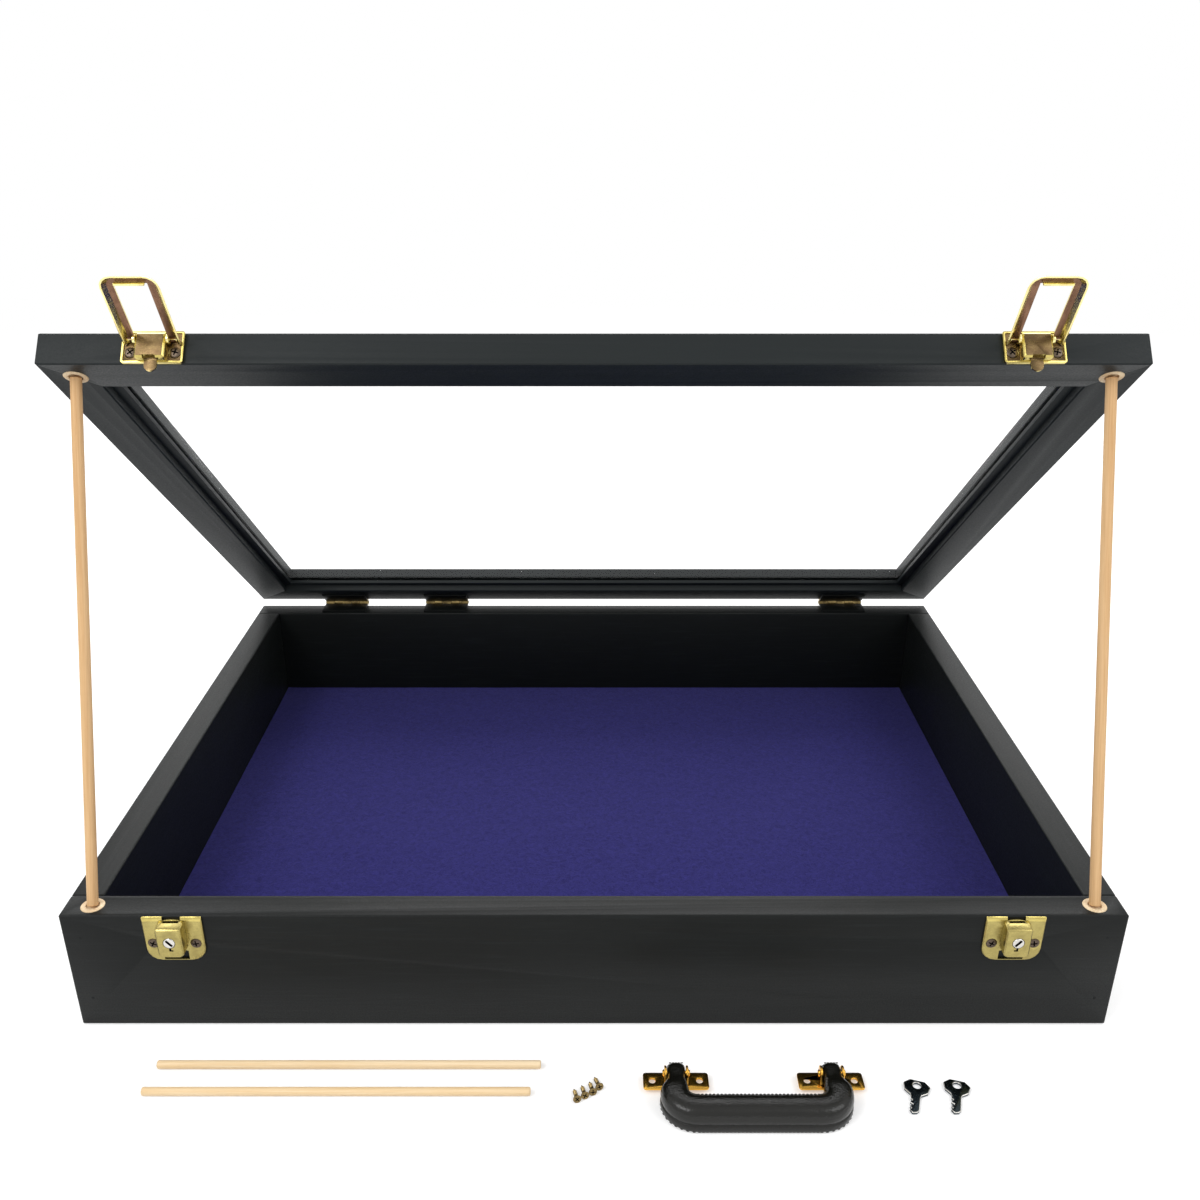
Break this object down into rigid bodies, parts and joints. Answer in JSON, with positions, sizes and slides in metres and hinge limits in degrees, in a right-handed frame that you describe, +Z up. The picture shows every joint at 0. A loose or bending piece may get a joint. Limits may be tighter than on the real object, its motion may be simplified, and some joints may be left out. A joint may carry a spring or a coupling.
{
  "type": "arrowhead display box",
  "caption": "Shallow hinged wooden display case with a felt floor and a glazed lid held open by props, with lockable draw latches, a loose carrying handle, spare dowels, screws and keys.",
  "frame": {"origin": "middle of the case's underside", "axes": "+X to the right along the front, +Y from the front board to the hinges, +Z up"},
  "size_m": [0.6096, 0.5529, 0.4186],
  "materials": {
    "black_paint": "black satin paint on pine boards",
    "felt": "violet-blue felt",
    "acrylic": "clear cast sheet",
    "birch": "bare sanded birch dowel",
    "brass": "brushed brass plate",
    "browned_steel": "antique brown plated steel",
    "nickel": "nickel plate",
    "gilt": "bright gold plate",
    "leatherette": "glossy black grained leatherette",
    "dark_steel": "dark nickel-plated steel"
  },
  "bodies": {
    "case": {"case_front": "black_paint", "case_back": "black_paint", "case_left": "black_paint", "case_right": "black_paint", "bottom_panel": "black_paint", "felt_liner": "felt", "hinge_1_case_leaf": "brass", "hinge_1_pin": "brass", "hinge_2_case_leaf": "brass", "hinge_2_pin": "brass", "hinge_3_case_leaf": "brass", "hinge_3_pin": "brass", "case_bush_left": "birch", "case_bush_right": "birch", "lock_plate_left": "brass", "lock_housing_left": "brass", "lock_screw_left_1": "browned_steel", "lock_screw_left_2": "browned_steel", "lock_plate_right": "brass", "lock_housing_right": "brass", "lock_screw_right_1": "browned_steel", "lock_screw_right_2": "browned_steel"},
    "lid": {"lid_front": "black_paint", "lid_back": "black_paint", "lid_left": "black_paint", "lid_right": "black_paint", "lid_pane": "acrylic", "hinge_1_lid_leaf": "brass", "hinge_2_lid_leaf": "brass", "hinge_3_lid_leaf": "brass", "lid_bush_left": "birch", "lid_bush_right": "birch", "catch_plate_left": "brass", "catch_screw_left_1": "browned_steel", "catch_screw_left_2": "browned_steel", "catch_plate_right": "brass", "catch_screw_right_1": "browned_steel", "catch_screw_right_2": "browned_steel"},
    "prop_left": {"prop_left": "birch"},
    "prop_right": {"prop_right": "birch"},
    "bail_left": {"bail_left": "brass"},
    "bail_right": {"bail_right": "brass"},
    "lock_plug_left": {"lock_plug_left": "nickel"},
    "lock_plug_right": {"lock_plug_right": "nickel"},
    "lock_bolt_left": {"lock_bolt_left": "nickel"},
    "lock_bolt_right": {"lock_bolt_right": "nickel"},
    "loose_dowel_rear": {"loose_dowel_rear": "birch"},
    "loose_dowel_front": {"loose_dowel_front": "birch"},
    "handle": {"handle_grip": "leatherette", "handle_rivet_left": "gilt", "handle_rivet_right": "gilt"},
    "handle_bracket_left": {"handle_bracket_left": "gilt"},
    "handle_bracket_right": {"handle_bracket_right": "gilt"},
    "key_left": {"key_left": "dark_steel"},
    "key_right": {"key_right": "dark_steel"},
    "loose_screw_1": {"loose_screw_1": "browned_steel"},
    "loose_screw_2": {"loose_screw_2": "browned_steel"},
    "loose_screw_3": {"loose_screw_3": "browned_steel"},
    "loose_screw_4": {"loose_screw_4": "browned_steel"}
  },
  "joints": [
    {"name": "lid_hinge", "type": "hinge", "parent": "case", "child": "lid", "pos_m": [0, 0.2326, 0.0809], "axis": [1, 0, 0], "range_deg": [0, 38.93]},
    {"name": "prop_left_away", "type": "hinge", "parent": "case", "child": "prop_left", "pos_m": [-0.2885, -0.25305, -0.00074], "axis": [1, 0, 0], "range_deg": [0, 110.31]},
    {"name": "prop_right_away", "type": "hinge", "parent": "case", "child": "prop_right", "pos_m": [0.2885, -0.25305, -0.00074], "axis": [1, 0, 0], "range_deg": [0, 110.31]},
    {"name": "bail_left_swing", "type": "hinge", "parent": "lid", "child": "bail_left", "pos_m": [-0.2404, -0.1223, 0.38276], "axis": [1, 0, 0], "range_deg": [-70, 110]},
    {"name": "bail_right_swing", "type": "hinge", "parent": "lid", "child": "bail_right", "pos_m": [0.2404, -0.1223, 0.38276], "axis": [1, 0, 0], "range_deg": [-70, 110]},
    {"name": "lock_plug_left_turn", "type": "hinge", "parent": "case", "child": "lock_plug_left", "pos_m": [-0.2404, -0.2286, 0.067], "axis": [0, 1, 0], "range_deg": [0, 90]},
    {"name": "lock_plug_right_turn", "type": "hinge", "parent": "case", "child": "lock_plug_right", "pos_m": [0.2404, -0.2286, 0.067], "axis": [0, 1, 0], "range_deg": [0, 90]},
    {"name": "lock_bolt_left_slide", "type": "slide", "parent": "case", "child": "lock_bolt_left", "axis": [0, 0, -1], "range_m": [0, 0.00255]},
    {"name": "lock_bolt_right_slide", "type": "slide", "parent": "case", "child": "lock_bolt_right", "axis": [0, 0, -1], "range_m": [0, 0.00255]},
    {"name": "loose_dowel_rear_lift", "type": "slide", "parent": "case", "child": "loose_dowel_rear", "axis": [0, 0, 1], "range_m": [0, 0.1]},
    {"name": "loose_dowel_front_lift", "type": "slide", "parent": "case", "child": "loose_dowel_front", "axis": [0, 0, 1], "range_m": [0, 0.1]},
    {"name": "handle_lift", "type": "slide", "parent": "case", "child": "handle", "axis": [0, 0, 1], "range_m": [0, 0.1]},
    {"name": "handle_bracket_left_swing", "type": "hinge", "parent": "handle", "child": "handle_bracket_left", "pos_m": [0.0458, -0.2769, 0.0092], "axis": [1, 0, 0], "range_deg": [0, 180]},
    {"name": "handle_bracket_right_swing", "type": "hinge", "parent": "handle", "child": "handle_bracket_right", "pos_m": [0.1322, -0.2769, 0.0092], "axis": [1, 0, 0], "range_deg": [0, 180]},
    {"name": "key_left_lift", "type": "slide", "parent": "case", "child": "key_left", "axis": [0, 0, 1], "range_m": [0, 0.1]},
    {"name": "key_right_lift", "type": "slide", "parent": "case", "child": "key_right", "axis": [0, 0, 1], "range_m": [0, 0.1]},
    {"name": "loose_screw_1_lift", "type": "slide", "parent": "case", "child": "loose_screw_1", "axis": [0, 0, 1], "range_m": [0, 0.1]},
    {"name": "loose_screw_2_lift", "type": "slide", "parent": "case", "child": "loose_screw_2", "axis": [0, 0, 1], "range_m": [0, 0.1]},
    {"name": "loose_screw_3_lift", "type": "slide", "parent": "case", "child": "loose_screw_3", "axis": [0, 0, 1], "range_m": [0, 0.1]},
    {"name": "loose_screw_4_lift", "type": "slide", "parent": "case", "child": "loose_screw_4", "axis": [0, 0, 1], "range_m": [0, 0.1]}
  ],
  "couplings": [
    {"joint": "prop_left_away", "follows": "lid_hinge", "ratio": 2.8334},
    {"joint": "prop_right_away", "follows": "lid_hinge", "ratio": 2.8334},
    {"joint": "lock_plug_left_turn", "follows": "lock_bolt_left_slide", "rad_per_m": 616},
    {"joint": "lock_plug_right_turn", "follows": "lock_bolt_right_slide", "rad_per_m": 616}
  ]
}
